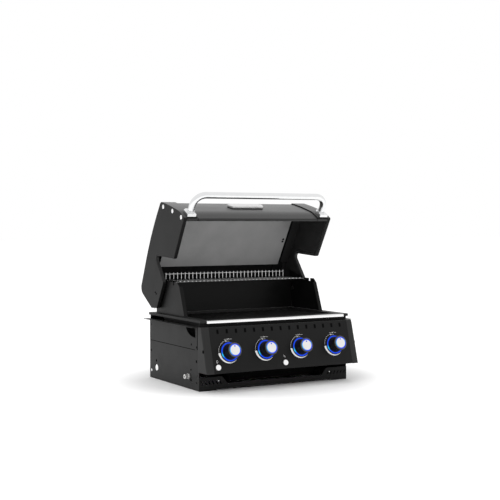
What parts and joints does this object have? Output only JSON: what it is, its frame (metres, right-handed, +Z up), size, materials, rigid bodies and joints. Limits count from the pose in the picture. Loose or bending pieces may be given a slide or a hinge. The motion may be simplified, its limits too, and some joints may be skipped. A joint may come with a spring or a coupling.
{
  "type": "built in gas grill",
  "caption": "Built-in gas grill with a hinged hood, cast grates, warming rack, tilted control panel with push-and-turn knobs and a slide-out grease tray.",
  "frame": {"origin": "on the floor plane that the cabinet's bottom edges rest on, under the middle of the whole grill's box with the lid open", "axes": "+X to the grill's right as seen by the cook, +Y to its rear, +Z up"},
  "size_m": [0.704, 0.6118, 0.7273],
  "materials": {
    "cabinet_powder_coat": "satin black powder coat on folded steel sheet",
    "panel_end_plastic": "matt dark grey moulding",
    "tray_steel": "satin dark coat",
    "tray_enamel": "satin black enamel",
    "knob_plastic": "glossy black with a satin silver face",
    "bezel_plastic": "glossy black with a blue lit channel",
    "valve_brass": "plain cast brass",
    "stem_steel": "plain turned",
    "burner_steel": "plain stainless",
    "button_chrome": "bright plated",
    "housing_plastic": "matt black moulding",
    "gas_pipe_steel": "zinc plated",
    "fitting_plate": "bright nickel plate",
    "firebox_casting": "satin black high-temperature coat on an aluminium casting",
    "firebox_enamel": "semi-gloss black enamel",
    "trim_chrome": "bright plated",
    "rack_chrome": "plated wire",
    "grate_iron": "seasoned black cast iron",
    "pin_steel": "plain turned",
    "lid_enamel": "gloss black enamel",
    "cap_casting": "satin black coat on a casting",
    "liner_steel": "satin stainless",
    "handle_chrome": "bright polished tube",
    "badge_metal": "bright bare plate"
  },
  "bodies": {
    "cabinet": {"base_front_plate": "cabinet_powder_coat", "burner_1": "burner_steel", "burner_2": "burner_steel", "burner_3": "burner_steel", "burner_4": "burner_steel", "control_panel": "cabinet_powder_coat", "control_panel_left_end": "panel_end_plastic", "control_panel_right_end": "panel_end_plastic", "firebox_left_side": "firebox_enamel", "firebox_rear_wall": "firebox_enamel", "firebox_right_side": "firebox_enamel", "firebox_tub": "firebox_casting", "front_cross_rail": "cabinet_powder_coat", "front_trim_bar": "trim_chrome", "gas_inlet_fitting": "fitting_plate", "gas_manifold": "gas_pipe_steel", "igniter_module": "housing_plastic", "knob_bezel_1": "bezel_plastic", "knob_bezel_2": "bezel_plastic", "knob_bezel_3": "bezel_plastic", "knob_bezel_4": "bezel_plastic", "left_cooking_grate": "grate_iron", "left_flame_tamer": "burner_steel", "left_hinge_pin": "pin_steel", "left_lower_side_panel": "cabinet_powder_coat", "left_tray_runner": "tray_steel", "left_upper_side_panel": "cabinet_powder_coat", "light_switch": "housing_plastic", "rear_base_rail": "cabinet_powder_coat", "rear_panel": "cabinet_powder_coat", "right_cooking_grate": "grate_iron", "right_flame_tamer": "burner_steel", "right_hinge_pin": "pin_steel", "right_lower_side_panel": "cabinet_powder_coat", "right_tray_runner": "tray_steel", "right_upper_side_panel": "cabinet_powder_coat", "valve_1": "valve_brass", "valve_2": "valve_brass", "valve_3": "valve_brass", "valve_4": "valve_brass", "warming_rack": "rack_chrome"},
    "lid": {"lid_badge_plate": "badge_metal", "lid_handle_left_base": "handle_chrome", "lid_handle_right_base": "handle_chrome", "lid_handle_tube": "handle_chrome", "lid_inner_liner": "liner_steel", "lid_left_end_cap": "cap_casting", "lid_outer_shell": "lid_enamel", "lid_right_end_cap": "cap_casting"},
    "grease_tray": {"grease_tray": "tray_enamel"},
    "igniter_button": {"igniter_button": "button_chrome"},
    "light_button": {"light_button": "button_chrome"},
    "valve_stem_1": {"valve_stem_1": "stem_steel"},
    "knob_1": {"knob_1": "knob_plastic"},
    "valve_stem_2": {"valve_stem_2": "stem_steel"},
    "knob_2": {"knob_2": "knob_plastic"},
    "valve_stem_3": {"valve_stem_3": "stem_steel"},
    "knob_3": {"knob_3": "knob_plastic"},
    "valve_stem_4": {"valve_stem_4": "stem_steel"},
    "knob_4": {"knob_4": "knob_plastic"}
  },
  "joints": [
    {"name": "lid_hinge", "type": "hinge", "parent": "cabinet", "child": "lid", "pos_m": [0, 0.16716, 0.338], "axis": [1, 0, 0], "range_deg": [0, 59]},
    {"name": "valve_1_turn", "type": "hinge", "parent": "cabinet", "child": "valve_stem_1", "pos_m": [-0.22909, -0.2553, 0.1452], "axis": [0, -0.9621, 0.2728], "range_deg": [0, 210]},
    {"name": "knob_1_push", "type": "slide", "parent": "valve_stem_1", "child": "knob_1", "axis": [0, 0.9621, -0.2728], "range_m": [0, 0.004], "stiffness_N_per_m": 1500},
    {"name": "valve_2_turn", "type": "hinge", "parent": "cabinet", "child": "valve_stem_2", "pos_m": [-0.07637, -0.2553, 0.1452], "axis": [0, -0.9621, 0.2728], "range_deg": [0, 210]},
    {"name": "knob_2_push", "type": "slide", "parent": "valve_stem_2", "child": "knob_2", "axis": [0, 0.9621, -0.2728], "range_m": [0, 0.004], "stiffness_N_per_m": 1500},
    {"name": "valve_3_turn", "type": "hinge", "parent": "cabinet", "child": "valve_stem_3", "pos_m": [0.07637, -0.2553, 0.1452], "axis": [0, -0.9621, 0.2728], "range_deg": [0, 210]},
    {"name": "knob_3_push", "type": "slide", "parent": "valve_stem_3", "child": "knob_3", "axis": [0, 0.9621, -0.2728], "range_m": [0, 0.004], "stiffness_N_per_m": 1500},
    {"name": "valve_4_turn", "type": "hinge", "parent": "cabinet", "child": "valve_stem_4", "pos_m": [0.22909, -0.2553, 0.1452], "axis": [0, -0.9621, 0.2728], "range_deg": [0, 210]},
    {"name": "knob_4_push", "type": "slide", "parent": "valve_stem_4", "child": "knob_4", "axis": [0, 0.9621, -0.2728], "range_m": [0, 0.004], "stiffness_N_per_m": 1500},
    {"name": "igniter_button_push", "type": "slide", "parent": "cabinet", "child": "igniter_button", "axis": [0, 0.9621, -0.2728], "range_m": [0, 0.003], "stiffness_N_per_m": 1200},
    {"name": "light_button_push", "type": "slide", "parent": "cabinet", "child": "light_button", "axis": [0, 0.9621, -0.2728], "range_m": [0, 0.003], "stiffness_N_per_m": 900},
    {"name": "grease_tray_slide", "type": "slide", "parent": "cabinet", "child": "grease_tray", "axis": [0, -1, 0], "range_m": [0, 0.3]}
  ]
}
